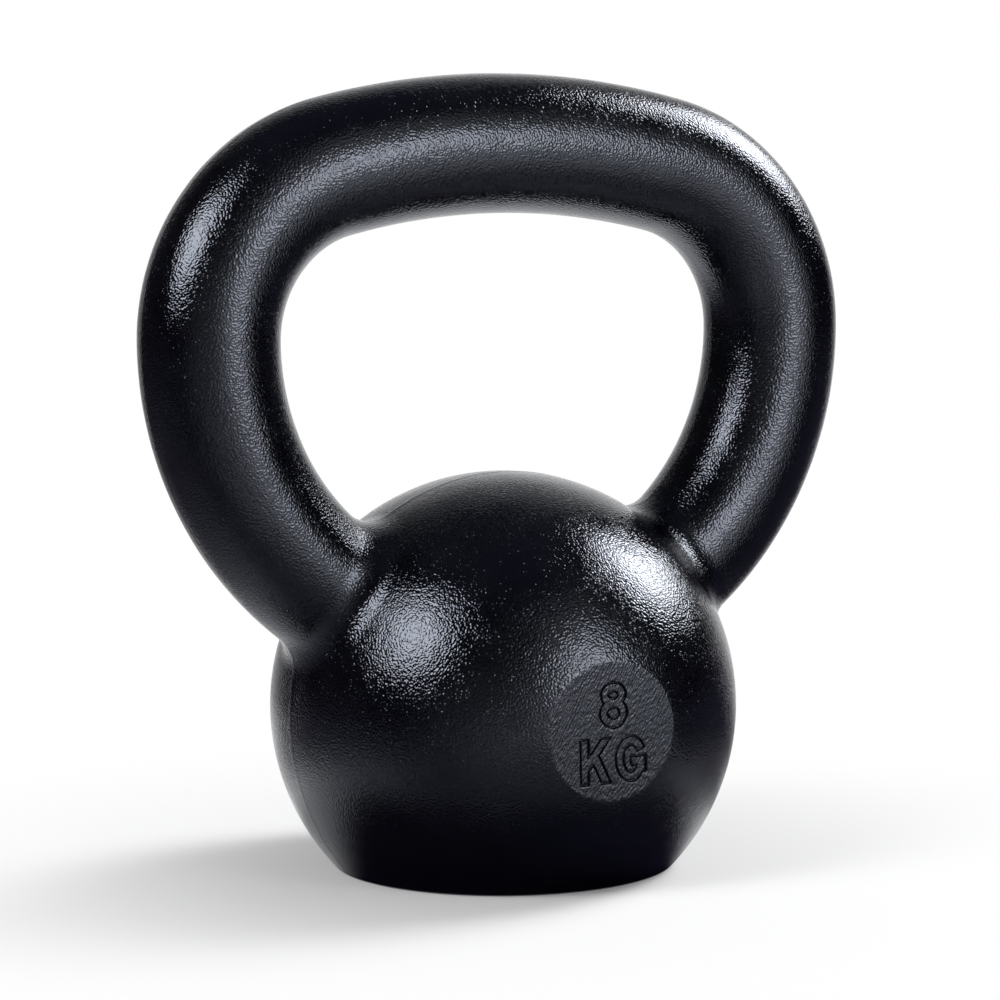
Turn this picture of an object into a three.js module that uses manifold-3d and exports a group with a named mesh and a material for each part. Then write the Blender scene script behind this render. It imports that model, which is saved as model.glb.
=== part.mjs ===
// An 8 kg kettlebell: a solid iron ball with a flat base and a flat for the weight mark, and a handle bent
// from one round bar. The handle's feet are coped to the ball, each has a turned spigot that seats in a
// socket, and a concave fillet runs out from each foot onto the ball.
//
// Millimetres, +Z up. The origin is the middle of the flat base, the handle stands in the XZ plane, and the
// flat for the weight mark faces -Y.

import * as THREE from "three";
import { mergeVertices, toCreasedNormals } from "three/addons/utils/BufferGeometryUtils.js";
import Module from "manifold-3d";

const wasm = await Module();
wasm.setup();

// Driving dimensions, in millimetres and degrees

const overallHeight = 197.4;
const overallWidth = 191.3; // across the outsides of the handle, where it bows out most
const ballDiameter = 117;
const ballCentreHeight = 40.2; // less than the ball's radius, which leaves the flat base
const baseEdgeRadius = 0.8;
const markFlatDiameter = 33.7;
const markFlatTilt = 1; // the flat leans back by this much
const barDiameter = 34.3;
const gripBendRadius = 194; // centre line of the shallow arch along the top
const cornerBendRadius = 42.8; // centre line of the two upper corners
const footAngle = 56.1; // round the ball, from its top to the middle of each foot
const footFilletRadius = 10;
const filletToeThickness = 0.2; // the fillet's edges are left this thick
const spigotDiameter = 22;
const spigotLength = 14; // from the ball's surface to the spigot's end
const spigotChamfer = 1.5;
const seatClearance = 0.3; // between two pieces that meet

// Fineness of the curved surfaces

const ballSegments = 72;
const ballProfileSteps = 40;
const edgeSteps = 3;
const barSides = 32;
const barSteps = 80;
const spigotSegments = 32;
const filletSections = 40;
const filletArcSteps = 8;
const creaseAngle = THREE.MathUtils.degToRad(25);

// Every piece is laid out from the ball's centre, so heights here are taken from there.

const ballRadius = ballDiameter / 2;
const barRadius = barDiameter / 2;
const spigotRadius = spigotDiameter / 2;
const barSeat = barRadius + seatClearance; // what meets the bar stays this far from its centre line
const ballSeat = ballRadius + seatClearance;
const topHeight = overallHeight - barRadius - ballCentreHeight; // the bar's centre line, at mid grip
const sideReach = overallWidth / 2 - barRadius; // the bar's centre line, where it bows out most

const enamel = { color: 0x101014, roughness: 0.32, metalness: 0.3 };

// Closed meshes as solids, for joining and cutting

function solid(geometry) {
  const bare = geometry.clone();
  bare.deleteAttribute("normal");
  bare.deleteAttribute("uv");
  const welded = mergeVertices(bare, 1e-4);
  const vertProperties = welded.attributes.position.array;
  const triVerts = Uint32Array.from(welded.index.array);
  return new wasm.Manifold(new wasm.Mesh({ numProp: 3, vertProperties, triVerts }));
}

function geometryOf(body) {
  const { vertProperties, triVerts } = body.getMesh();
  const geometry = new THREE.BufferGeometry();
  geometry.setAttribute("position", new THREE.BufferAttribute(vertProperties, 3));
  geometry.setIndex(new THREE.BufferAttribute(triVerts, 1));
  return geometry;
}

function piece(name, geometry) {
  const material = new THREE.MeshStandardMaterial(enamel);
  const mesh = new THREE.Mesh(toCreasedNormals(geometry, creaseAngle), material);
  mesh.name = name;
  return mesh;
}

// The handle's centre line
//
// Its right half is three arcs in the XZ plane, each tangent to the next: the shallow arch of the grip, the
// tight upper corner, which ends pointing straight down, and the horn, which curls in from there until it
// meets the ball at the middle of the foot. Angles are those of an arc's own radius, from +X towards +Z.

const gripArc = {
  centre: new THREE.Vector2(0, topHeight - gripBendRadius),
  radius: gripBendRadius,
  from: Math.PI / 2,
};

const cornerX = sideReach - cornerBendRadius;
const cornerArc = {
  centre: new THREE.Vector2(
    cornerX,
    gripArc.centre.y + Math.sqrt((gripBendRadius - cornerBendRadius) ** 2 - cornerX ** 2),
  ),
  radius: cornerBendRadius,
};
cornerArc.from = cornerArc.centre.clone().sub(gripArc.centre).angle();

const footBearing = Math.PI / 2 - THREE.MathUtils.degToRad(footAngle);
const foot = new THREE.Vector2(ballRadius, 0).rotateAround(new THREE.Vector2(), footBearing);
const hornTop = new THREE.Vector2(sideReach, cornerArc.centre.y);
const hornChord = hornTop.clone().sub(foot);
const hornRadius = hornChord.lengthSq() / (2 * hornChord.x);
const hornArc = {
  centre: new THREE.Vector2(sideReach - hornRadius, hornTop.y),
  radius: hornRadius,
  from: 0,
};
const footStation = Math.atan2(foot.y - hornArc.centre.y, foot.x - hornArc.centre.x);
const footDirection = new THREE.Vector3(Math.sin(footStation), 0, -Math.cos(footStation));

// The bar runs on into the ball by its own radius, and is coped back to the ball's surface afterwards.
const copingAllowance = barRadius;
gripArc.length = gripArc.radius * (gripArc.from - cornerArc.from);
cornerArc.length = cornerArc.radius * (cornerArc.from - hornArc.from);
hornArc.length = hornArc.radius * (hornArc.from - footStation) + copingAllowance;
const bends = [gripArc, cornerArc, hornArc];
const halfLength = bends.reduce((sum, bend) => sum + bend.length, 0);

class BentBar extends THREE.Curve {
  getPoint(t, target = new THREE.Vector3()) {
    const fromMiddle = (2 * t - 1) * halfLength;
    let run = Math.abs(fromMiddle);
    let bend = 0;
    while (bend < bends.length - 1 && run > bends[bend].length) {
      run -= bends[bend].length;
      bend += 1;
    }
    const { centre, radius, from } = bends[bend];
    const angle = from - run / radius;
    const x = centre.x + radius * Math.cos(angle);
    return target.set(Math.sign(fromMiddle) * x, 0, centre.y + radius * Math.sin(angle));
  }
}

// Turned shapes

function arc(x, y, radius, from, to, steps) {
  return new THREE.EllipseCurve(x, y, radius, radius, from, to, to < from).getPoints(steps);
}

function turned(profile) {
  const points = profile.map(([radius, along]) => new THREE.Vector2(radius, along));
  return new THREE.LatheGeometry(points, spigotSegments);
}

// A turned shape stood on a foot: its axis runs down the bar's, and its zero is on the ball's surface.
function seatedAtFoot(geometry) {
  const along = new THREE.Quaternion().setFromUnitVectors(new THREE.Vector3(0, 1, 0), footDirection);
  return solid(geometry.applyQuaternion(along).translate(foot.x, 0, foot.y));
}

const turnedAbout = (body) => body.rotate([0, 0, 180]);

// Ball

function ball() {
  // The base edge's small round lies inside both the sphere and the base plane.
  const edgeHeight = baseEdgeRadius - ballCentreHeight;
  const edgeReach = Math.sqrt((ballRadius - baseEdgeRadius) ** 2 - edgeHeight ** 2);
  const edgeEnd = Math.atan2(edgeHeight, edgeReach);
  const profile = [
    new THREE.Vector2(0, -ballCentreHeight),
    ...arc(edgeReach, edgeHeight, baseEdgeRadius, -Math.PI / 2, edgeEnd, edgeSteps),
    ...arc(0, 0, ballRadius, edgeEnd, Math.PI / 2, ballProfileSteps).slice(1),
  ];
  const turnedBall = solid(new THREE.LatheGeometry(profile, ballSegments).rotateX(Math.PI / 2));

  // The block that cuts the flat for the weight mark stands outside the ball, with its face on the flat.
  const flatDistance = Math.sqrt(ballRadius ** 2 - (markFlatDiameter / 2) ** 2);
  const block = new THREE.BoxGeometry(ballDiameter, ballDiameter, ballDiameter);
  block.translate(0, -flatDistance - ballDiameter / 2, 0);
  block.rotateX(THREE.MathUtils.degToRad(-markFlatTilt));

  const socketRadius = spigotRadius + seatClearance;
  const socketDepth = spigotLength + seatClearance;
  const socketCutter = [
    [0, -barRadius],
    [socketRadius, -barRadius],
    [socketRadius, socketDepth],
    [0, socketDepth],
  ];
  const socket = seatedAtFoot(turned(socketCutter));
  return geometryOf(turnedBall.subtract(solid(block)).subtract(socket).subtract(turnedAbout(socket)));
}

// Handle

function handle() {
  const section = new THREE.Shape().absarc(0, 0, barRadius, 0, 2 * Math.PI);
  const bar = new THREE.ExtrudeGeometry(section, {
    extrudePath: new BentBar(),
    steps: barSteps,
    curveSegments: barSides / 2, // a full circle gets two sides for each
    bevelEnabled: false,
  });
  const coping = new THREE.SphereGeometry(ballSeat, ballSegments, ballSegments);
  const rootInsideBar = [
    [0, -barRadius],
    [spigotRadius, -barRadius],
  ];
  const chamferedTip = [
    [spigotRadius, spigotLength - spigotChamfer],
    [spigotRadius - spigotChamfer, spigotLength],
    [0, spigotLength],
  ];
  const spigot = seatedAtFoot(turned([...rootInsideBar, ...chamferedTip]));
  return geometryOf(solid(bar).subtract(solid(coping)).add(spigot).add(turnedAbout(spigot)));
}

// Foot fillet
//
// The fillet's face is left by a sphere of footFilletRadius rolled round the foot, in touch with the fillet's
// two seats: one stands off the bar by the clearance and the other off the ball. Near the foot the bar is a
// ring about the horn arc's centre, so each place is found in closed form from two distances: one from the
// bar's centre line and one from the ball's centre. An angle round the bar tells the side: 0 is the outside
// of the bend.

function besideBar(station, distance, side) {
  const reach = hornArc.radius + distance * Math.cos(side);
  return new THREE.Vector3(
    hornArc.centre.x + reach * Math.cos(station),
    distance * Math.sin(side),
    hornArc.centre.y + reach * Math.sin(station),
  );
}

function stationAt(fromBar, fromBallCentre, side) {
  const reach = hornArc.radius + fromBar * Math.cos(side);
  const across = fromBar * Math.sin(side);
  const { centre } = hornArc;
  const along = (fromBallCentre ** 2 - centre.lengthSq() - reach ** 2 - across ** 2) / (2 * reach);
  return centre.angle() - Math.acos(along / centre.length());
}

// The place at a set distance from the bar's centre line, straight in from a point outside it.
function droppedOntoBar(point, distance) {
  const { centre, radius } = hornArc;
  const station = Math.atan2(point.z - centre.y, point.x - centre.x);
  const onLine = new THREE.Vector3(
    centre.x + radius * Math.cos(station), 0, centre.y + radius * Math.sin(station));
  return point.clone().sub(onLine).setLength(distance).add(onLine);
}

function filletSection(side) {
  const station = stationAt(barSeat + footFilletRadius, ballSeat + footFilletRadius, side);
  const rollingCentre = besideBar(station, barSeat + footFilletRadius, side);
  const towardsBar = besideBar(station, barSeat, side).sub(rollingCentre).normalize();
  const towardsBall = rollingCentre.clone().negate().normalize();
  const opening = towardsBar.angleTo(towardsBall);
  const trimmed = Math.acos(1 - filletToeThickness / footFilletRadius);
  const axis = towardsBar.clone().cross(towardsBall).normalize();

  const section = [];
  for (let i = 0; i <= filletArcSteps; i += 1) {
    const turn = trimmed + ((opening - 2 * trimmed) * i) / filletArcSteps;
    const out = towardsBar.clone().applyAxisAngle(axis, turn).setLength(footFilletRadius);
    section.push(out.add(rollingCentre));
  }
  const barToe = section[0];
  const ballToe = section[filletArcSteps];
  section.push(ballToe.clone().setLength(ballSeat));
  section.push(besideBar(stationAt(barSeat, ballSeat, side), barSeat, side));
  section.push(droppedOntoBar(barToe, barSeat));
  return section;
}

function footFillet() {
  const positions = [];
  const triangles = [];
  let corners = 0;
  for (let i = 0; i < filletSections; i += 1) {
    const section = filletSection((2 * Math.PI * i) / filletSections);
    corners = section.length;
    section.forEach((point) => positions.push(point.x, point.y, point.z));
  }
  for (let i = 0; i < filletSections; i += 1) {
    const here = i * corners;
    const there = ((i + 1) % filletSections) * corners;
    for (let j = 0; j < corners; j += 1) {
      const next = (j + 1) % corners;
      triangles.push(here + j, here + next, there + next);
      triangles.push(here + j, there + next, there + j);
    }
  }
  const ring = new THREE.BufferGeometry();
  ring.setAttribute("position", new THREE.Float32BufferAttribute(positions, 3));
  ring.setIndex(triangles);
  return ring;
}

// Assembly

const rightFootFillet = piece("right_foot_fillet", footFillet());
const leftFootFillet = piece("left_foot_fillet", footFillet());
leftFootFillet.rotation.z = Math.PI;

const aboutBallCentre = new THREE.Group();
aboutBallCentre.position.z = ballCentreHeight;
aboutBallCentre.add(piece("ball", ball()), piece("handle", handle()), leftFootFillet, rightFootFillet);

const kettlebell = new THREE.Group();
kettlebell.add(aboutBallCentre);

export default kettlebell;
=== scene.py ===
# %% [markdown]
# # A black cast-iron kettlebell
#
# The object is one lump of iron: a ball with a flat base and a small flat face for its weight mark, and a
# thick round handle whose two feet run into the ball. All of it wears one coat of black enamel.
#
# Every piece is made here at its real size, in metres, in the frame of the engineering model. Each piece is
# modelled, given its enamel, and then tied to the body of the engineering model that it stands for.

# %% Load the frame
import math

import bmesh
import bpy
import numpy as np
from mathutils import Matrix, Vector
from mathutils.geometry import delaunay_2d_cdt


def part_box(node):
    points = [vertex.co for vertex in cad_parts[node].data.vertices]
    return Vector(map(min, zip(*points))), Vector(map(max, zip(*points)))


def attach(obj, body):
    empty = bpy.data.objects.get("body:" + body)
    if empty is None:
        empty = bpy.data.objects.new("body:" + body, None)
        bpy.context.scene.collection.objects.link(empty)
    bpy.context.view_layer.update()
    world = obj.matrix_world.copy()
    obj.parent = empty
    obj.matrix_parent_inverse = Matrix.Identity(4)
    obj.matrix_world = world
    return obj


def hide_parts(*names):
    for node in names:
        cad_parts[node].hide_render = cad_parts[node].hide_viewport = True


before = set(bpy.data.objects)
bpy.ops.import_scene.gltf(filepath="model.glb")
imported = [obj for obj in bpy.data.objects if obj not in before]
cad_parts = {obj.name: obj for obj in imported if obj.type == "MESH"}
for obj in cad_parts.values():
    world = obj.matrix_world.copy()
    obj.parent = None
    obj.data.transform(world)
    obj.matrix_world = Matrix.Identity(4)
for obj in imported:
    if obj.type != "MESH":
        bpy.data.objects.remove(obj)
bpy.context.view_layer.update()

# %% [markdown]
# ## Sizes
#
# The large sizes are read off the engineering model: its ball gives the radius and the height of the centre,
# and its handle gives the bar, the reach and the height. Reading them keeps the two models in step. Bend
# radii, the foot's place and the small rounds can't be read off a box, so they are written here.

# %% Sizes
MM = 0.001

ball_low, ball_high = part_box("ball")
handle_low, handle_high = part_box("handle")

BALL_RADIUS = (ball_high.x - ball_low.x) / 2
BALL_CENTRE = Vector((0, 0, ball_high.z - BALL_RADIUS))
BASE_DEPTH = BALL_CENTRE.z - ball_low.z  # from the ball's centre down to its flat base
BAR_RADIUS = (handle_high.y - handle_low.y) / 2
TOP_HEIGHT = handle_high.z - BAR_RADIUS - BALL_CENTRE.z  # the bar's centre line, from the ball's centre
SIDE_REACH = handle_high.x - BAR_RADIUS

GRIP_BEND = 194 * MM
CORNER_BEND = 42.8 * MM
FOOT_ANGLE = math.radians(56.1)  # round the ball, from its top
FOOT_FILLET = 10 * MM
BASE_EDGE = 0.8 * MM
MARK_FLAT_RADIUS = 16.85 * MM
MARK_FLAT_TILT = math.radians(1)
print(f"ball {BALL_RADIUS / MM:.2f} mm, bar {BAR_RADIUS / MM:.2f} mm, reach {SIDE_REACH / MM:.2f} mm")

# %% [markdown]
# ## The bar's bends
#
# The handle is bent from one round bar. Half of its centre line is three arcs, each tangent to the next: the
# shallow grip, the tight upper corner, and the horn that curls in to the ball. Only the horn's radius has to
# be worked out: it leaves the corner straight down and has to meet the ball at the middle of the foot.

# %% Centres of the bends
grip_centre = TOP_HEIGHT - GRIP_BEND
corner_x = SIDE_REACH - CORNER_BEND
corner_z = grip_centre + math.sqrt((GRIP_BEND - CORNER_BEND) ** 2 - corner_x**2)
foot = Vector((math.sin(FOOT_ANGLE), 0, math.cos(FOOT_ANGLE))) * BALL_RADIUS
horn_chord = Vector((SIDE_REACH, 0, corner_z)) - foot
HORN_BEND = horn_chord.length_squared / (2 * horn_chord.x)
horn_centre = Vector((SIDE_REACH - HORN_BEND, 0, corner_z))
horn_sweep = -math.atan2(foot.z - horn_centre.z, foot.x - horn_centre.x)
print(f"horn bend {HORN_BEND / MM:.1f} mm through {math.degrees(horn_sweep):.1f} degrees")

# %% [markdown]
# ## Writing node trees
#
# Shapes made by rule and every material are node trees. Two small classes keep them readable. A `Tree` adds
# a node from its type, its settings and what goes into its sockets. A `Value` is a number that flows through
# the tree, and ordinary arithmetic on it adds the Math nodes, so a formula reads as a formula.

# %% Tree and Value
class Value:
    """A number in a node tree, on which arithmetic adds Math nodes."""

    def __init__(self, tree, socket):
        self.tree = tree
        self.socket = socket

    def __add__(self, other):
        return self.tree.math("ADD", self, other)

    def __sub__(self, other):
        return self.tree.math("SUBTRACT", self, other)

    def __rsub__(self, other):
        return self.tree.math("SUBTRACT", other, self)

    def __mul__(self, other):
        return self.tree.math("MULTIPLY", self, other)

    def __truediv__(self, other):
        return self.tree.math("DIVIDE", self, other)

    def __rtruediv__(self, other):
        return self.tree.math("DIVIDE", other, self)

    def __pow__(self, other):
        return self.tree.math("POWER", self, other)

    def __lt__(self, other):
        return self.tree.math("LESS_THAN", self, other)

    def __gt__(self, other):
        return self.tree.math("GREATER_THAN", self, other)

    __radd__ = __add__
    __rmul__ = __mul__


class Tree:
    """A node tree, and one way to add any node to it."""

    def __init__(self, node_tree):
        self.node_tree = node_tree

    def add(self, kind, settings=None, inputs=None):
        node = self.node_tree.nodes.new(kind)
        for name, setting in (settings or {}).items():
            setattr(node, name, setting)
        for key, given in (inputs or {}).items():
            socket = node.inputs[key]
            source = given.socket if isinstance(given, Value) else given
            if isinstance(source, bpy.types.NodeSocket):
                self.node_tree.links.new(source, socket)
            else:
                socket.default_value = source
        return node

    def value(self, kind, settings=None, inputs=None, output=0):
        return Value(self, self.add(kind, settings, inputs).outputs[output])

    def math(self, operation, *numbers, clamp=False):
        settings = {"operation": operation, "use_clamp": clamp}
        return self.value("ShaderNodeMath", settings, dict(enumerate(numbers)))

    def split(self, vector):
        node = self.add("ShaderNodeSeparateXYZ", inputs={0: vector})
        return [Value(self, output) for output in node.outputs]

    def combine(self, x, y, z):
        return self.value("ShaderNodeCombineXYZ", inputs={0: x, 1: y, 2: z})


# %% [markdown]
# ## Shapes made by rule
#
# A geometry tree is built with named inputs for its sizes. The modifier that runs it takes each input by the
# socket's identifier, because names can repeat. The result is then read from the evaluated object as a plain
# mesh, and the modifier goes, so nothing is left to be worked out later.

# %% Geometry trees and plain meshes
def geometry_tree(name, sizes):
    group = bpy.data.node_groups.new(name, "GeometryNodeTree")
    interface = group.interface
    interface.new_socket("Geometry", in_out="INPUT", socket_type="NodeSocketGeometry")
    for label, kind in sizes.items():
        interface.new_socket(label, in_out="INPUT", socket_type=f"NodeSocket{kind}")
    interface.new_socket("Geometry", in_out="OUTPUT", socket_type="NodeSocketGeometry")
    tree = Tree(group)
    given = group.nodes.new("NodeGroupInput")
    return tree, {socket.name: Value(tree, socket) for socket in given.outputs if socket.name}


def finish_tree(tree, geometry, material):
    realized = tree.add("GeometryNodeRealizeInstances", inputs={"Geometry": geometry})
    painted = tree.add(
        "GeometryNodeSetMaterial", inputs={"Geometry": realized.outputs[0], "Material": material}
    )
    tree.add("NodeGroupOutput", inputs={"Geometry": painted.outputs[0]})
    return tree.node_tree


def apply_tree(piece, group, values):
    modifier = piece.modifiers.new(group.name, "NODES")
    modifier.node_group = group
    for item in group.interface.items_tree:
        if item.in_out == "INPUT" and item.name in values:
            modifier[item.identifier] = values[item.name]
    evaluated = piece.evaluated_get(bpy.context.evaluated_depsgraph_get())
    plain = bpy.data.meshes.new_from_object(evaluated)
    piece.modifiers.remove(modifier)
    old = piece.data
    piece.data = plain
    plain.name = piece.name
    bpy.data.meshes.remove(old)


def new_piece(name, vertices=(), faces=()):
    mesh = bpy.data.meshes.new(name)
    mesh.from_pydata([tuple(v) for v in vertices], [], [tuple(f) for f in faces])
    piece = bpy.data.objects.new(name, mesh)
    bpy.context.scene.collection.objects.link(piece)
    return piece


def report(piece):
    triangles = sum(len(face.vertices) - 2 for face in piece.data.polygons)
    print(f"{piece.name}: {len(piece.data.vertices)} vertices, {triangles} triangles")


# %% [markdown]
# ## Black enamel
#
# The coat is gloss enamel over rough iron: nearly black, with a cool sheen. It is never smooth. It follows
# the sand grain below it and dries in ripples under a millimetre wide, so a lamp's reflection is whole in
# its middle and breaks into short bright worms at its edge. Dust leaves nibs, and air leaves pinholes. All
# of it is a matter of height, so it is one bump, added up in metres. The colour stays almost the same all
# over.

# %% Sizes of the grain
GRAIN_WIDTH = 0.5 * MM
GRAIN_HEIGHT = 0.12 * MM
NIB_SPACING = 1.0 * MM
NIB_RADIUS = 0.2 * MM
NIB_HEIGHT = 0.07 * MM
PINHOLE_SPACING = 3.0 * MM
PINHOLE_RADIUS = 0.26 * MM
PINHOLE_DEPTH = 0.09 * MM
NIB_SHARE = 0.5  # of the cells that dots are scattered in
PINHOLE_SHARE = 0.6
BRUSHED_LENGTH = 1.5 * MM  # the flat's ripples all run one way
BRUSHED_WIDTH = 0.42 * MM
BRUSHED_HEIGHT = 0.18 * MM
BRUSHED_SLANT = math.radians(60)
PATCH = 9 * MM  # over which the coat is thicker or thinner


def cloud(tree, place, size, detail=0.0):
    """Smooth noise about 0.5, from a place in metres."""
    inputs = {"Vector": place, "Scale": 1 / size, "Detail": detail}
    return tree.value("ShaderNodeTexNoise", inputs=inputs)


def scattered_dots(tree, place, spacing, radius, share):
    """Round dots, 1 in the middle and 0 outside, in a share of the cells."""
    inputs = {"Vector": place, "Scale": 1 / spacing}
    cells = tree.add("ShaderNodeTexVoronoi", inputs=inputs)
    draw = tree.split(cells.outputs["Color"])[0]
    away = Value(tree, cells.outputs["Distance"]) * (spacing / radius)
    dome = tree.math("SUBTRACT", 1.0, away * away, clamp=True)
    return dome * dome * (draw < share)


# %% [markdown]
# The flat for the weight mark looks dressed below its coat: its ripples are drawn out along one slant, and
# its gloss is a little duller. A material can tell where it is from the object coordinates alone: a point
# is on the flat when it is in front of the ball's middle and near the axis of the flat's circle.

# %% The enamel
ENAMEL_BLACK = (0.0009, 0.0009, 0.0019, 1)
ENAMEL_THIN = (0.002, 0.0021, 0.0034, 1)
ENAMEL_SHEEN = (0.79, 0.85, 1.0, 1)
ENAMEL_IOR = 1.85
GLOSS = 0.085
GLOSS_SPREAD = 0.06
FLAT_DULLING = 0.08
FLAT_EVENING = 0.4  # how much less the plain grain shows on the flat
THIN_ABOVE = 0.35  # patch noise at which the coat starts to thin
THIN_GAIN = 2.0


def on_mark_flat(tree, x, y, z):
    up = z - BALL_CENTRE.z - flat_middle.z
    inside = tree.math("SQRT", x * x + up * up) < MARK_FLAT_RADIUS
    return inside * (y < 0)


def black_enamel():
    material = bpy.data.materials.new("black_enamel")
    material.use_nodes = True
    tree = Tree(material.node_tree)
    shader = material.node_tree.nodes["Principled BSDF"]
    place = tree.add("ShaderNodeTexCoord").outputs["Object"]
    x, y, z = tree.split(place)
    flat = on_mark_flat(tree, x, y, z)
    patch = cloud(tree, place, PATCH, detail=2.0)

    grain = cloud(tree, place, GRAIN_WIDTH) * GRAIN_HEIGHT * (patch + 0.5)
    along = x * math.cos(BRUSHED_SLANT) + z * math.sin(BRUSHED_SLANT)
    across = z * math.cos(BRUSHED_SLANT) - x * math.sin(BRUSHED_SLANT)
    slanted = tree.combine(along / BRUSHED_LENGTH, across / BRUSHED_WIDTH, 0.0)
    brushed = cloud(tree, slanted, 1.0) * BRUSHED_HEIGHT
    nibs = scattered_dots(tree, place, NIB_SPACING, NIB_RADIUS, NIB_SHARE) * NIB_HEIGHT
    pinholes = scattered_dots(tree, place, PINHOLE_SPACING, PINHOLE_RADIUS, PINHOLE_SHARE)
    height = grain * (1 - flat * FLAT_EVENING) + brushed * flat + nibs - pinholes * PINHOLE_DEPTH
    bump = tree.add("ShaderNodeBump", inputs={"Height": height, "Distance": 1.0, "Strength": 1.0})

    thin = tree.math("MULTIPLY", patch - THIN_ABOVE, THIN_GAIN, clamp=True)
    colour = tree.add(
        "ShaderNodeMix",
        {"data_type": "RGBA"},
        {"Factor": thin, "A": ENAMEL_BLACK, "B": ENAMEL_THIN},
    )
    gloss = GLOSS + GLOSS_SPREAD * thin + FLAT_DULLING * flat
    links = tree.node_tree.links
    links.new(colour.outputs["Result"], shader.inputs["Base Color"])
    links.new(gloss.socket, shader.inputs["Roughness"])
    links.new(bump.outputs[0], shader.inputs["Normal"])
    shader.inputs["IOR"].default_value = ENAMEL_IOR
    shader.inputs["Specular Tint"].default_value = ENAMEL_SHEEN
    return material


flat_facing = Vector((0, -math.cos(MARK_FLAT_TILT), math.sin(MARK_FLAT_TILT)))
flat_middle = flat_facing * math.sqrt(BALL_RADIUS**2 - MARK_FLAT_RADIUS**2)
enamel = black_enamel()
print("enamel nodes:", len(enamel.node_tree.nodes))

# %% [markdown]
# ## The skin of the casting
#
# A sand casting is never quite true: its surface swells and sinks by a few hundredths of a millimetre, and a
# low ridge is left where the two halves of the mould met. Both are real shape, so they move the mesh. The
# same tree works on every piece and reads only where a point is, so neighbours still meet after it.

# %% Casting skin
WAVE_HEIGHT = 0.05 * MM
WAVE_SIZE = 14 * MM
RIDGE_HEIGHT = 0.08 * MM
RIDGE_WIDTH = 0.7 * MM
BASE_FADE = 2 * MM  # the ground base and its edge stay true


def casting_skin():
    sizes = {
        "Wave Height": "Float",
        "Wave Size": "Float",
        "Ridge Height": "Float",
        "Ridge Width": "Float",
        "Base Fade": "Float",
        "Material": "Material",
    }
    tree, given = geometry_tree("casting_skin", sizes)
    place = tree.add("GeometryNodeInputPosition").outputs[0]
    normal = tree.add("GeometryNodeInputNormal").outputs[0]
    across, height = tree.split(place)[1:]
    noise = tree.value(
        "ShaderNodeTexNoise",
        inputs={"Vector": place, "Scale": 1 / given["Wave Size"], "Detail": 2.0},
    )
    from_seam = across / given["Ridge Width"]
    ridge = given["Ridge Height"] * tree.math("EXPONENT", 0 - from_seam * from_seam)
    fade = tree.math("DIVIDE", height, given["Base Fade"], clamp=True)
    rise = ((noise - 0.5) * 2 * given["Wave Height"] + ridge) * fade
    offset = tree.add("ShaderNodeVectorMath", {"operation": "SCALE"}, {0: normal, "Scale": rise})
    moved = tree.add(
        "GeometryNodeSetPosition",
        inputs={"Geometry": given["Geometry"], "Offset": offset.outputs[0]},
    )
    return finish_tree(tree, moved.outputs[0], given["Material"])


skin = casting_skin()
SKIN_SIZES = {
    "Wave Height": WAVE_HEIGHT,
    "Wave Size": WAVE_SIZE,
    "Ridge Height": RIDGE_HEIGHT,
    "Ridge Width": RIDGE_WIDTH,
    "Base Fade": BASE_FADE,
    "Material": enamel,
}

# %% [markdown]
# ## The handle
#
# The bar follows a rule, so a geometry tree makes it: a line of points is laid along the three bends, turned
# into a curve, and swept with a circle. Each point knows how far it is from the middle of the grip, which
# says whether it lies on the grip, a corner or a horn. The ends run on into the ball, as spigots do.

# %% Bent bar
BAR_STATIONS = 620
BAR_SIDES = 144
RUN_IN = 12 * MM  # how far each end goes on inside the ball


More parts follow.
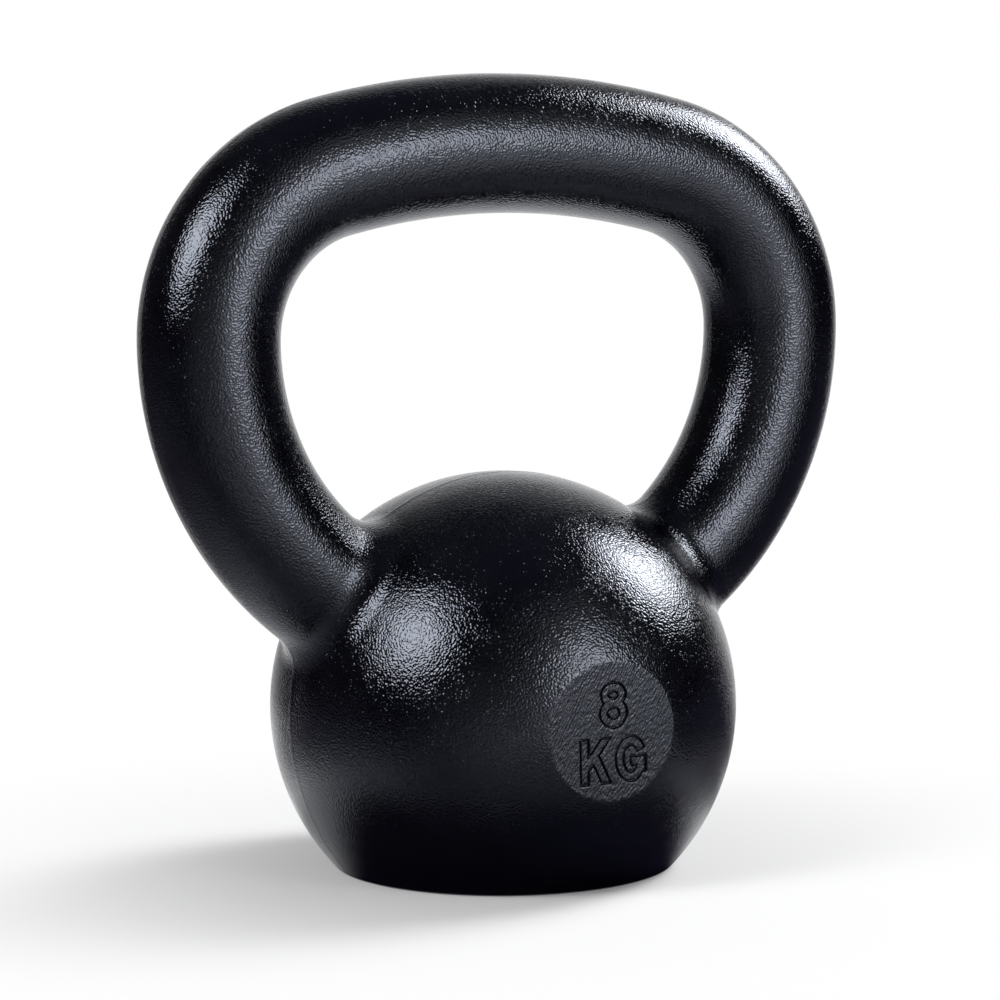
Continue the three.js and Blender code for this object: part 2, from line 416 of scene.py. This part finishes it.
def bent_bar():
    sizes = {
        "Bar Radius": "Float",
        "Grip Bend": "Float",
        "Corner Bend": "Float",
        "Horn Bend": "Float",
        "Horn Sweep": "Float",
        "Side Reach": "Float",
        "Top Height": "Float",
        "Centre Height": "Float",
        "Run In": "Float",
        "Stations": "Int",
        "Sides": "Int",
        "Material": "Material",
    }
    tree, given = geometry_tree("bent_bar", sizes)
    grip, corner, horn = given["Grip Bend"], given["Corner Bend"], given["Horn Bend"]
    reach = given["Side Reach"]
    grip_z = given["Top Height"] - grip
    from_axis = reach - corner
    between = grip - corner
    corner_height = grip_z + tree.math("SQRT", between * between - from_axis * from_axis)
    corner_turn = tree.math("ARCTAN2", corner_height - grip_z, from_axis)
    grip_run = grip * (math.pi / 2 - corner_turn)
    corner_run = corner * corner_turn
    horn_run = horn * given["Horn Sweep"] + given["Run In"]
    half_run = grip_run + corner_run + horn_run

    index = tree.value("GeometryNodeInputIndex")
    along = (index / (given["Stations"] - 1) * 2 - 1) * half_run
    run = tree.math("ABSOLUTE", along)
    side = tree.math("SIGN", along)
    on_grip = run < grip_run
    on_horn = run > grip_run + corner_run
    on_corner = 1 - on_grip - on_horn

    def arc(mask, centre_x, centre_z, radius, angle):
        x = (centre_x + radius * tree.math("COSINE", angle)) * mask
        z = (centre_z + radius * tree.math("SINE", angle)) * mask
        return x, z

    arcs = [
        arc(on_grip, 0.0, grip_z, grip, math.pi / 2 - run / grip),
        arc(on_corner, from_axis, corner_height, corner, corner_turn - (run - grip_run) / corner),
        arc(on_horn, reach - horn, corner_height, horn, (grip_run + corner_run - run) / horn),
    ]
    x = arcs[0][0] + arcs[1][0] + arcs[2][0]
    z = arcs[0][1] + arcs[1][1] + arcs[2][1] + given["Centre Height"]
    line = tree.add("GeometryNodeMeshLine", inputs={"Count": given["Stations"]})
    laid = tree.add(
        "GeometryNodeSetPosition",
        inputs={"Geometry": line.outputs[0], "Position": tree.combine(x * side, 0.0, z)},
    )
    path = tree.add("GeometryNodeMeshToCurve", inputs={"Mesh": laid.outputs[0]})
    circle = tree.add(
        "GeometryNodeCurvePrimitiveCircle",
        inputs={"Resolution": given["Sides"], "Radius": given["Bar Radius"]},
    )
    swept = tree.add(
        "GeometryNodeCurveToMesh",
        inputs={"Curve": path.outputs[0], "Profile Curve": circle.outputs[0], "Fill Caps": True},
    )
    return finish_tree(tree, swept.outputs[0], given["Material"])


handle = new_piece("handle_enamelled")
bar_sizes = {
    "Bar Radius": BAR_RADIUS,
    "Grip Bend": GRIP_BEND,
    "Corner Bend": CORNER_BEND,
    "Horn Bend": HORN_BEND,
    "Horn Sweep": horn_sweep,
    "Side Reach": SIDE_REACH,
    "Top Height": TOP_HEIGHT,
    "Centre Height": BALL_CENTRE.z,
    "Run In": RUN_IN,
    "Stations": BAR_STATIONS,
    "Sides": BAR_SIDES,
    "Material": enamel,
}
apply_tree(handle, bent_bar(), bar_sizes)
apply_tree(handle, skin, SKIN_SIZES)
handle.data.shade_smooth()
report(handle)

# %% [markdown]
# ## The ball
#
# The ball is turned about the upright axis from one profile: the flat base, its small edge round and the
# sphere. Turning it gives a true base edge. The flat for the weight mark is then cut by a plane, and the
# hole that the cut leaves is filled with a finer net that can hold the mark.

# %% Turned ball
BALL_SEGMENTS = 372
BALL_STEPS = 150
EDGE_STEPS = 6
SEAM_STEP = 0.4 * MM  # extra segments either side of the mould seam


def ball_profile():
    edge_z = BASE_EDGE - BASE_DEPTH
    edge_reach = math.sqrt((BALL_RADIUS - BASE_EDGE) ** 2 - edge_z**2)
    edge_end = math.atan2(edge_z, edge_reach)
    points = [(edge_reach * share, -BASE_DEPTH) for share in (0.25, 0.5, 0.75, 0.9)]
    for i in range(EDGE_STEPS + 1):
        turn = -math.pi / 2 + (edge_end + math.pi / 2) * i / EDGE_STEPS
        x = edge_reach + BASE_EDGE * math.cos(turn)
        points.append((x, edge_z + BASE_EDGE * math.sin(turn)))
    for i in range(1, BALL_STEPS):
        turn = edge_end + (math.pi / 2 - edge_end) * i / BALL_STEPS
        points.append((BALL_RADIUS * math.cos(turn), BALL_RADIUS * math.sin(turn)))
    return points


def turned_ball():
    even = [2 * math.pi * i / BALL_SEGMENTS for i in range(BALL_SEGMENTS)]
    beside = [side * SEAM_STEP / BALL_RADIUS for side in (-1, 1)]
    turns = sorted(even + [math.pi * half + small for half in (0, 1) for small in beside])
    profile = ball_profile()
    count = len(turns)
    vertices = [(0, 0, -BASE_DEPTH)]
    for radius, z in profile:
        vertices += [(radius * math.cos(turn), radius * math.sin(turn), z) for turn in turns]
    vertices.append((0, 0, BALL_RADIUS))
    last = len(vertices) - 1
    faces = []
    for j in range(count):
        after = (j + 1) % count
        faces.append((0, 1 + after, 1 + j))
        for i in range(len(profile) - 1):
            low, high = 1 + i * count, 1 + (i + 1) * count
            faces.append((low + j, low + after, high + after, high + j))
        top = 1 + (len(profile) - 1) * count
        faces.append((top + j, top + after, last))
    return vertices, faces


# %% [markdown]
# ## The weight mark
#
# The mark is the plain weight of the bell, 8 over KG, sunk into the flat: every stroke lies a little below
# the flat, and a narrow groove runs round its edge. Letters cut by booleans have hard edges that no casting
# has. Here each point is told how far it is from the nearest stroke's edge, and sinks by a smooth function
# of that distance, so the grooves come out round.

# %% Distances to the strokes
MARK_DEPTH = 0.12 * MM
GROOVE_DEPTH = 0.75 * MM
GROOVE_WIDTH = 0.64 * MM
STROKE = 2.15 * MM
CHARACTER_HEIGHT = 10.8 * MM
LOWER_ROW = -12.3 * MM  # foot of the lower row, from the middle of the flat
UPPER_ROW = 0.85 * MM
LETTER_K_LEFT = -8.45 * MM
LETTER_G_LEFT = 1.05 * MM
NUMBER_MIDDLE = 0.55 * MM


def from_ellipse(x, y, centre, radii):
    """Distance outside an ellipse, near enough for shapes this round."""
    u, v = x - centre[0], y - centre[1]
    shares = np.hypot(u / radii[0], v / radii[1])
    slopes = np.hypot(u / radii[0] ** 2, v / radii[1] ** 2)
    return shares * (shares - 1) / np.maximum(slopes, 1e-9)


def from_outline(x, y, corners):
    """Distance outside a closed outline of straight edges."""
    nearest = np.full(x.shape, np.inf)
    inside = np.zeros(x.shape, bool)
    for (ax, ay), (bx, by) in zip(corners, corners[1:] + corners[:1]):
        ex, ey = bx - ax, by - ay
        share = np.clip(((x - ax) * ex + (y - ay) * ey) / (ex**2 + ey**2), 0, 1)
        nearest = np.minimum(nearest, np.hypot(x - ax - share * ex, y - ay - share * ey))
        crosses = (ay > y) != (by > y)
        with np.errstate(divide="ignore", invalid="ignore"):
            inside ^= crosses & (x < ax + (y - ay) * ex / ey)
    return np.where(inside, -nearest, nearest)


def box_outline(left, right, low, high):
    return [(left, low), (right, low), (right, high), (left, high)]


def number_eight(x, y):
    lower_height = 0.545 * CHARACTER_HEIGHT + STROKE / 2
    upper_height = CHARACTER_HEIGHT - lower_height + STROKE
    lower = (NUMBER_MIDDLE, UPPER_ROW + lower_height / 2)
    upper = (NUMBER_MIDDLE, UPPER_ROW + CHARACTER_HEIGHT - upper_height / 2)
    lower_radii = (3.7 * MM, lower_height / 2)
    upper_radii = (3.35 * MM, upper_height / 2)
    outside = np.minimum(
        from_ellipse(x, y, lower, lower_radii), from_ellipse(x, y, upper, upper_radii)
    )
    for centre, radii in ((lower, lower_radii), (upper, upper_radii)):
        eye = [radius - STROKE for radius in radii]
        outside = np.maximum(outside, -from_ellipse(x, y, centre, eye))
    return outside


def letter_k(x, y):
    left, low = LETTER_K_LEFT, LOWER_ROW
    high = low + CHARACTER_HEIGHT
    bar_right = left + STROKE
    arm = 0.62 * CHARACTER_HEIGHT  # height of the crotch between arm and leg
    tip = left + 8.1 * MM
    slant = 2.4 * MM  # width of an arm along the row's edge
    corners = [
        (left, low),
        (bar_right, low),
        (bar_right, low + 0.28 * CHARACTER_HEIGHT),
        (bar_right + 1.3 * MM, low + 0.43 * CHARACTER_HEIGHT),
        (tip - slant, low),
        (tip, low),
        (left + 4.95 * MM, low + arm),
        (tip, high),
        (tip - slant, high),
        (bar_right, low + 0.6 * CHARACTER_HEIGHT),
        (bar_right, high),
        (left, high),
    ]
    return from_outline(x, y, corners)


def letter_g(x, y):
    low = LOWER_ROW
    radii = (4.1 * MM, CHARACTER_HEIGHT / 2)
    centre = (LETTER_G_LEFT + radii[0], low + radii[1])
    eye = [radius - STROKE for radius in radii]
    ring = np.maximum(from_ellipse(x, y, centre, radii), -from_ellipse(x, y, centre, eye))
    right = centre[0] + radii[0]
    bar_top = centre[1] + 0.5 * MM
    mouth = [
        (centre[0], bar_top),
        (right + STROKE, bar_top),
        (right + STROKE, centre[1] + 3.4 * MM),
        (centre[0], centre[1] + 1.2 * MM),
    ]
    ring = np.maximum(ring, -from_outline(x, y, mouth))
    bar = from_outline(x, y, box_outline(centre[0], right, bar_top - STROKE, bar_top))
    stem = from_outline(x, y, box_outline(right - STROKE, right, low + 0.2 * CHARACTER_HEIGHT, bar_top))
    return np.minimum(ring, np.minimum(bar, stem))


def mark_distance(x, y):
    return np.minimum(number_eight(x, y), np.minimum(letter_k(x, y), letter_g(x, y)))


def mark_sink(distance):
    inside = np.clip(0.5 - distance / GROOVE_WIDTH, 0, 1)
    from_edge = np.clip(np.abs(distance) * 2 / GROOVE_WIDTH, 0, 1)
    groove = (1 - from_edge**2) ** 2
    return MARK_DEPTH * inside * inside * (3 - 2 * inside) + GROOVE_DEPTH * groove


# %% [markdown]
# The net of the flat is fine only beside the strokes, where the surface bends, and coarse elsewhere. A
# triangulation that keeps the cut's own edge joins it to the ball without a gap.

# %% Cut the flat and fill it
FINE_NET = 0.085 * MM
COARSE_NET = 0.5 * MM
FINE_BAND = 0.38 * MM  # either side of a stroke's edge
flat_across = Vector((1, 0, 0))
flat_up = flat_across.cross(flat_facing) * -1


def net_points(step, keep):
    count = int(MARK_FLAT_RADIUS / step)
    line = np.arange(-count, count + 1) * step
    x, y = (grid.ravel() for grid in np.meshgrid(line, line))
    distance = mark_distance(x, y)
    kept = keep(distance) & (np.hypot(x, y) < MARK_FLAT_RADIUS - step / 2)
    return x[kept], y[kept], distance[kept]


def cut_and_mark(vertices, faces):
    mesh = bmesh.new()
    made = [mesh.verts.new(vertex) for vertex in vertices]
    for face in faces:
        mesh.faces.new([made[i] for i in face])
    everything = [*mesh.verts, *mesh.edges, *mesh.faces]
    bmesh.ops.bisect_plane(
        mesh, geom=everything, plane_co=flat_middle, plane_no=flat_facing, clear_outer=True
    )
    rim = {vertex for edge in mesh.edges if edge.is_boundary for vertex in edge.verts}
    flat = [((v.co - flat_middle).dot(flat_across), (v.co - flat_middle).dot(flat_up), v) for v in rim]
    flat.sort(key=lambda place: math.atan2(place[1], place[0]))
    fine = net_points(FINE_NET, lambda distance: np.abs(distance) < FINE_BAND)
    coarse = net_points(COARSE_NET, lambda distance: np.abs(distance) >= FINE_BAND)
    inner = []
    for x, y, distance in zip(*(np.concatenate(pair) for pair in zip(fine, coarse))):
        inner.append((x, y, float(mark_sink(distance))))
    corners = [vertex for *_, vertex in flat]
    for x, y, sink in inner:
        place = flat_middle + flat_across * x + flat_up * y - flat_facing * sink
        corners.append(mesh.verts.new(place))
    plane = [Vector(place[:2]) for place in flat] + [Vector(place[:2]) for place in inner]
    edges = [(i, (i + 1) % len(flat)) for i in range(len(flat))]
    *_, triangles, origins, _, _ = delaunay_2d_cdt(plane, edges, [], 0, 1e-9)
    for triangle in triangles:
        mesh.faces.new([corners[origins[i][0]] for i in triangle])
    return mesh


ball = new_piece("ball_enamelled")
ball_mesh = cut_and_mark(*turned_ball())
ball_mesh.transform(Matrix.Translation(BALL_CENTRE))
bmesh.ops.recalc_face_normals(ball_mesh, faces=ball_mesh.faces)
for face in ball_mesh.faces:
    face.smooth = True
ball_mesh.to_mesh(ball.data)
ball_mesh.free()
apply_tree(ball, skin, SKIN_SIZES)
report(ball)

# %% [markdown]
# ## The fillets at the feet
#
# Where bar and ball meet, the casting has a round inner corner. It is the shape left by a small ball rolled
# round the foot in touch with both. Near the foot the bar is part of a ring, so the rolling ball's centre is
# found straight from two distances: one from the bar's centre line and one from the ball's centre. Past each
# touch the surface runs on under its neighbour, ever deeper, so no edge shows.

# %% Rolling ball
FILLET_SECTIONS = 240
FILLET_STEPS = 44
UNDERCUT = [(0.4, 0.01), (1.0, 0.04), (2.0, 0.18), (3.0, 0.5)]  # run past the touch, and depth, in mm


def beside_bar(station, distance, side):
    """A point at a distance from the horn's centre line; side 0 is the outside of the bend."""
    reach = HORN_BEND + distance * math.cos(side)
    along = Vector((math.cos(station), 0, math.sin(station))) * reach
    return horn_centre + along + Vector((0, distance * math.sin(side), 0))


def station_at(from_bar, from_ball_centre, side):
    reach = HORN_BEND + from_bar * math.cos(side)
    across = from_bar * math.sin(side)
    to_horn = horn_centre.length
    along = (from_ball_centre**2 - to_horn**2 - reach**2 - across**2) / (2 * reach)
    return math.atan2(horn_centre.z, horn_centre.x) - math.acos(along / to_horn)


def fillet_section(side):
    """One section of the ring, from the bar's side to the ball's, and back inside the iron."""
    station = station_at(BAR_RADIUS + FOOT_FILLET, BALL_RADIUS + FOOT_FILLET, side)
    middle = beside_bar(station, BAR_RADIUS + FOOT_FILLET, side)
    bar_touch = beside_bar(station, BAR_RADIUS, side) - middle
    ball_touch = -middle.normalized() * FOOT_FILLET
    opening = bar_touch.angle(ball_touch)
    axis = bar_touch.cross(ball_touch).normalized()
    arc = []
    for i in range(FILLET_STEPS + 1):
        turned = Matrix.Rotation(opening * i / FILLET_STEPS, 3, axis) @ bar_touch
        arc.append(middle + turned)
    bar_end, ball_end = [], []
    for run, depth in UNDERCUT:
        further = station + run * MM / (HORN_BEND + BAR_RADIUS * math.cos(side))
        bar_end.append(beside_bar(further, BAR_RADIUS - depth * MM, side))
        turn = Matrix.Rotation(run * MM / BALL_RADIUS, 3, middle.cross(arc[-1] - arc[-2]))
        ball_end.append(turn @ arc[-1] * (1 - depth * MM / BALL_RADIUS))
    crotch = beside_bar(station_at(BAR_RADIUS - MM, BALL_RADIUS - MM, side), BAR_RADIUS - MM, side)
    return [*reversed(bar_end), *arc, *ball_end, crotch]


def foot_fillet(name, turned):
    vertices, faces = [], []
    for i in range(FILLET_SECTIONS):
        section = fillet_section(2 * math.pi * i / FILLET_SECTIONS)
        vertices += [turned @ point + BALL_CENTRE for point in section]
    size = len(section)
    for i in range(FILLET_SECTIONS):
        here, there = i * size, (i + 1) % FILLET_SECTIONS * size
        for j in range(size):
            after = (j + 1) % size
            faces.append((here + j, here + after, there + after, there + j))
    piece = new_piece(name, vertices, faces)
    apply_tree(piece, skin, SKIN_SIZES)
    piece.data.shade_smooth()
    report(piece)
    return piece


right_fillet = foot_fillet("right_foot_fillet_enamelled", Matrix.Identity(3))
left_fillet = foot_fillet("left_foot_fillet_enamelled", Matrix.Rotation(math.pi, 3, "Z"))

# %% [markdown]
# ## Camera
#
# A long lens from nearly a metre away, turned 27 degrees from the front towards the left horn and looking a
# little down, sees the weight mark and has one horn nearer than the other. The camera looks straight at its
# aim, so nothing has to be shifted in the lens.

# %% Camera
CAMERA_AZIMUTH = math.radians(-27.37)
CAMERA_ELEVATION = math.radians(5.8)
CAMERA_ROLL = math.radians(-0.31)
CAMERA_DISTANCE = 853.2 * MM
CAMERA_LENS = 122.8
AIM_HEIGHT = 91.5 * MM
AIM_ASIDE = -0.5 * MM


def direction(azimuth, elevation):
    """A level turn from the front, -Y, towards +X, and then up."""
    return Vector(
        (
            math.sin(azimuth) * math.cos(elevation),
            -math.cos(azimuth) * math.cos(elevation),
            math.sin(elevation),
        )
    )


camera = bpy.data.objects.new("camera", bpy.data.cameras.new("camera"))
bpy.context.scene.collection.objects.link(camera)
camera.data.lens = CAMERA_LENS
camera.data.sensor_width = 36
back = direction(CAMERA_AZIMUTH, CAMERA_ELEVATION)
right = Vector((math.cos(CAMERA_AZIMUTH), math.sin(CAMERA_AZIMUTH), 0))
level = Matrix((right, back.cross(right), back)).transposed()
rolled = (level @ Matrix.Rotation(CAMERA_ROLL, 3, "Z")).to_4x4()
aim = Vector((0, 0, AIM_HEIGHT)) + right * AIM_ASIDE
camera.matrix_world = Matrix.Translation(aim + back * CAMERA_DISTANCE) @ rolled
bpy.context.scene.camera = camera
bpy.context.scene.view_settings.view_transform = "Standard"

# %% [markdown]
# ## Cove
#
# Black gloss shows its room. The floor is pale card, plainly lit, and it keeps the bell's shadow. Away from
# the bell it rises in a cove on all sides. There, whatever looks straight at it or sees it in a reflection
# meets an even white glow, which dims high up, as in a studio with only its backdrop lit.

# %% Cove
COVE_RADIUS = 4.0
COVE_BEND = 0.6
COVE_HEIGHT = 5.0
COVE_SEGMENTS = 96
BEND_STEPS = 10


def cove_profile():
    points = [(COVE_RADIUS * share, 0) for share in (0.1, 0.3, 0.6)]
    for i in range(BEND_STEPS + 1):
        turn = math.pi / 2 * i / BEND_STEPS
        out = COVE_RADIUS - COVE_BEND + COVE_BEND * math.sin(turn)
        points.append((out, COVE_BEND * (1 - math.cos(turn))))
    return points + [(COVE_RADIUS, COVE_HEIGHT)]


def cove():
    vertices = [(0, 0, 0)]
    faces = []
    profile = cove_profile()
    for i in range(COVE_SEGMENTS):
        turn = 2 * math.pi * i / COVE_SEGMENTS
        vertices += [(x * math.cos(turn), x * math.sin(turn), z) for x, z in profile]
    size = len(profile)
    for i in range(COVE_SEGMENTS):
        here, there = 1 + i * size, 1 + (i + 1) % COVE_SEGMENTS * size
        faces.append((0, here, there))
        for j in range(size - 1):
            faces.append((here + j, here + j + 1, there + j + 1, there + j))
    return new_piece("cove", vertices, faces)


FLOOR_COLOUR = 0.78
GLOW_ABOVE = 0.3  # what is left of the glow high up
GLOW_FULL = 0.2  # distance from the bell's middle at which the glow is whole
DIM_FROM = 1.0  # height at which the glow starts to dim
DIM_OVER = 2.0


def cove_card():
    material = bpy.data.materials.new("pale_card")
    material.use_nodes = True
    nodes = material.node_tree.nodes
    nodes.clear()
    tree = Tree(material.node_tree)
    place = tree.add("ShaderNodeTexCoord").outputs["Object"]
    x, y, z = tree.split(place)
    far = tree.math("SQRT", x * x + y * y)
    glow = tree.value(
        "ShaderNodeMapRange",
        {"interpolation_type": "SMOOTHSTEP"},
        {"Value": far, "From Min": 0, "From Max": GLOW_FULL},
    )
    rays = tree.add("ShaderNodeLightPath")
    seen = tree.math(
        "ADD",
        Value(tree, rays.outputs["Is Camera Ray"]) + Value(tree, rays.outputs["Is Glossy Ray"]),
        Value(tree, rays.outputs["Is Transmission Ray"]),
        clamp=True,
    )
    card = tree.add("ShaderNodeBsdfDiffuse", inputs={"Color": (FLOOR_COLOUR,) * 3 + (1,)})
    above = tree.math("MULTIPLY", z - DIM_FROM, 1 / DIM_OVER, clamp=True)
    level = 1 - above * (1 - GLOW_ABOVE)
    light = tree.add("ShaderNodeEmission", inputs={"Color": (1, 1, 1, 1), "Strength": level})
    mixed = tree.add(
        "ShaderNodeMixShader", inputs={0: seen * glow, 1: card.outputs[0], 2: light.outputs[0]}
    )
    tree.add("ShaderNodeOutputMaterial", inputs={"Surface": mixed.outputs[0]})
    return material


floor = cove()
floor.data.shade_smooth()
floor.data.materials.append(cove_card())

# %% [markdown]
# ## Lamps
#
# Three soft boxes light the bell: a strong one on its right, a wide one on its left, and a small one near
# it in front. The cloth before a lamp is brightest in its middle, so each box is a stack of round lamps of
# several sizes about one centre, and their light adds up there. The rest of the room is nearly dark, and
# the black gauze below paints shade into the enamel's reflections, so the enamel stays black between the
# reflections of the boxes.

# %% Lamps
ROOM_LIGHT = (0.04, 0.042, 0.058, 1)
LAMP_AIM = Vector((0, 0, 0.1))


def soft_box(name, azimuth, elevation, distance, *discs):
    """Discs are pairs of a diameter and a radiance."""
    away = direction(math.radians(azimuth), math.radians(elevation))
    for size, radiance in discs:
        lamp = bpy.data.objects.new(name, bpy.data.lights.new(name, "AREA"))
        bpy.context.scene.collection.objects.link(lamp)
        lamp.data.shape = "DISK"
        lamp.data.size = size
        lamp.data.energy = radiance * math.pi**2 * size**2 / 4
        lamp.location = LAMP_AIM + away * distance
        lamp.rotation_euler = (-away).to_track_quat("-Z", "Y").to_euler()
        lamp.visible_camera = False


soft_box("left_soft_box", -80, 34, 1.19, (0.14, 6.5), (0.28, 5.3), (0.46, 5.8), (0.7, 4.7))
soft_box("front_soft_box", 18, 16, 0.64, (0.1, 3.3), (0.2, 2.8), (0.3, 3.1))
soft_box("right_soft_box", 95, 35.5, 1.4, (0.3, 16), (0.5, 10), (0.7, 7), (0.92, 5))

# %% [markdown]
# Gloss is only as black as what it mirrors, and in a studio black cloth is set about a black object, out of
# view. Here strips of gauze in arcs about the bell, laid on the floor and hung by the wall of the cove,
# paint shade into the enamel's reflections. They show only in reflections, where they darken the reflected
# floor and cove although these are lit, and they neither shade the floor nor cast a shadow. The strip
# nearest the bell is a painted contact shadow. The camera sees neither them nor the soft boxes. A strip has
# a thickness in each row from the bell outward and thins out to both ends, so that no hard edge shows in the
# enamel.

# %% Black gauze
# The gauze's near-black colour is painted shade: it shows only in the enamel's reflections, over a floor and
# cove that are lit.
REFLECTED_SHADE_BLACK = (0.01, 0.008, 0.022, 1)
CLOTH_STEPS = 64
CLOTH_WALL = 3.3  # radius at which the gauze hangs


def painted_shade_gauze():
    material = bpy.data.materials.new("painted_shade_gauze")
    material.use_nodes = True
    material.node_tree.nodes.clear()
    tree = Tree(material.node_tree)
    thick = tree.add("ShaderNodeAttribute", {"attribute_name": "thickness"}).outputs["Fac"]
    cloth = tree.add("ShaderNodeBsdfDiffuse", inputs={"Color": REFLECTED_SHADE_BLACK})
    clear = tree.add("ShaderNodeBsdfTransparent")
    mixed = tree.add(
        "ShaderNodeMixShader", inputs={0: thick, 1: clear.outputs[0], 2: cloth.outputs[0]}
    )
    tree.add("ShaderNodeOutputMaterial", inputs={"Surface": mixed.outputs[0]})
    return material


def hang_gauze(name, start, end, fade, rows):
    """A strip of an arc about the bell, in degrees; a row is a radius, a height and a thickness."""
    vertices, faces, thickness = [], [], []
    for i in range(CLOTH_STEPS + 1):
        angle = start + (end - start) * i / CLOTH_STEPS
        from_end = min(1, min(angle - start, end - angle) / fade)
        for radius, height, thick in rows:
            vertices.append(direction(math.radians(angle), 0) * radius + Vector((0, 0, height)))
            thickness.append(thick * from_end * from_end * (3 - 2 * from_end))
    size = len(rows)
    for i in range(CLOTH_STEPS):
        for j in range(size - 1):
            here = i * size + j
            faces.append((here, here + 1, here + size + 1, here + size))
    strip = new_piece(name, vertices, faces)
    strip.data.attributes.new("thickness", "FLOAT", "POINT").data.foreach_set("value", thickness)
    strip.data.materials.append(gauze)
    # Hidden from the camera, from diffuse light and from shadows, a strip only darkens reflections: painted
    # shade.
    strip.visible_camera = False
    strip.visible_diffuse = False
    strip.visible_shadow = False


def laid(height, *rows):
    return [(radius, height, thick) for radius, thick in rows]


def hung(*rows):
    return [(CLOTH_WALL, height, thick) for height, thick in rows]


gauze = painted_shade_gauze()
# The strip round the base is a painted contact shadow, seen only in reflections: it darkens the reflected
# floor there more than the floor's own shadow does.
contact_shadow_rows = laid(0.0004, (0.035, 1), (0.074, 0.98), (0.088, 0.88), (0.105, 0.4), (0.13, 0))
hang_gauze("contact_shadow_gauze", -111, 72, 32, contact_shadow_rows)
near_front = [(0.07, 0), (0.09, 0.66), (0.115, 0.84), (0.15, 0.85), (0.2, 0.8)]
near_front += [(0.25, 0.66), (0.3, 0.44), (0.4, 0.35), (0.6, 0)]
hang_gauze("near_front_gauze", -90, 72, 44, laid(0.0007, *near_front))
far_front = laid(0.001, (0.25, 0), (0.4, 0.58), (0.6, 0.8), (CLOTH_WALL, 0.84))
far_front += hung((0.6, 0.87), (1.2, 0.9), (4.9, 0.92))
hang_gauze("far_front_gauze", -104, 12, 32, far_front)
near_left = [(0.09, 0), (0.12, 0.6), (0.15, 0.82), (0.2, 0.9), (0.3, 0.9), (0.45, 0)]
hang_gauze("near_left_gauze", -174, -24, 42, laid(0.0013, *near_left))
far_left = laid(0.0016, (0.2, 0), (0.3, 0.7), (0.45, 0.97), (CLOTH_WALL, 0.99))
far_left += hung((0.3, 0.99), (1, 0.98), (4.9, 0.9))
hang_gauze("far_left_gauze", -212, -20, 60, far_left)
near_right = [(0.06, 0), (0.075, 0.5), (0.09, 0.8), (0.12, 0.85), (0.15, 0)]
hang_gauze("near_right_gauze", 44, 116, 24, laid(0.0019, *near_right))
far_right = laid(0.0022, (0.1, 0), (0.13, 0.75), (0.16, 0.97), (CLOTH_WALL, 0.995))
far_right += hung((0.6, 0.99), (1.2, 0.97), (4.9, 0.9))
hang_gauze("far_right_gauze", 24, 136, 30, far_right)

world = bpy.data.worlds.new("dim_room")
bpy.context.scene.world = world
world.use_nodes = True
world.node_tree.nodes["Background"].inputs["Color"].default_value = ROOM_LIGHT

# %% Tie the pieces
PIECES = {
    ball: "ball",
    handle: "handle",
    left_fillet: "left_foot_fillet",
    right_fillet: "right_foot_fillet",
}
for piece, node in PIECES.items():
    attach(piece, "root")
    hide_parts(node)
